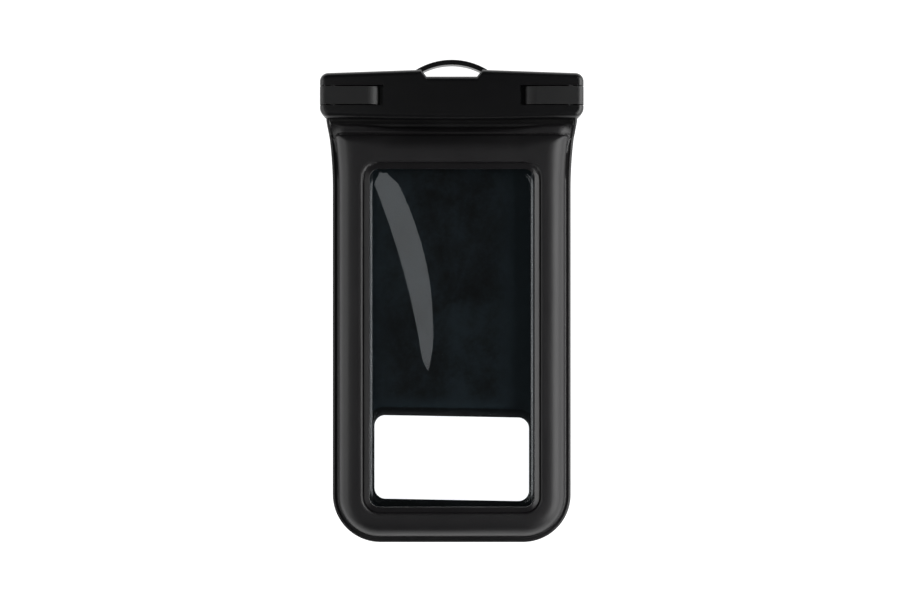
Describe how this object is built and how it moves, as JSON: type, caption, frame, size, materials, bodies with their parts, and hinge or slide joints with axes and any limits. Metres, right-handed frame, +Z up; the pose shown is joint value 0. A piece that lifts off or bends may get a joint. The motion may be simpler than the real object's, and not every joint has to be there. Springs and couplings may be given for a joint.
{
  "type": "waterproof phone pouch",
  "caption": "Flat padded waterproof pouch for a phone, with a clear front window, a clear rear camera window, and a top clamp with two flip latches and a strap loop.",
  "frame": {"origin": "centre of the length and width, on the surface that the pouch lies on", "axes": "+X across the pouch to the right latch, +Y along it from the closed end to the clamp and loop, +Z up out of the front window"},
  "size_m": [0.12, 0.2216, 0.013],
  "materials": {
    "clamp_plastic": "satin",
    "latch_plastic": "fine matte",
    "pin_steel": "turned",
    "seal_silicone": "matte",
    "padded_skin": "satin film",
    "foam": "cellular",
    "black_film": "satin film",
    "clear_film": "clear film"
  },
  "bodies": {
    "pouch": {"front_bar": "clamp_plastic", "rear_bar": "clamp_plastic", "hinge_pin_left": "pin_steel", "hinge_pin_right": "pin_steel", "front_seal": "seal_silicone", "rear_seal": "seal_silicone", "front_film_strip": "clamp_plastic", "rear_film_strip": "clamp_plastic", "front_skin": "padded_skin", "float_foam": "foam", "front_liner": "black_film", "front_window": "clear_film", "rear_film": "black_film", "rear_window": "clear_film"},
    "left_latch": {"latch_left": "latch_plastic"},
    "right_latch": {"latch_right": "latch_plastic"}
  },
  "joints": [
    {"name": "left_latch_hinge", "type": "hinge", "parent": "pouch", "child": "left_latch", "pos_m": [-0.057, 0.0936, 0.0046], "axis": [0, -1, 0], "range_deg": [0, 100]},
    {"name": "right_latch_hinge", "type": "hinge", "parent": "pouch", "child": "right_latch", "pos_m": [0.057, 0.0936, 0.0046], "axis": [0, 1, 0], "range_deg": [0, 100]}
  ]
}
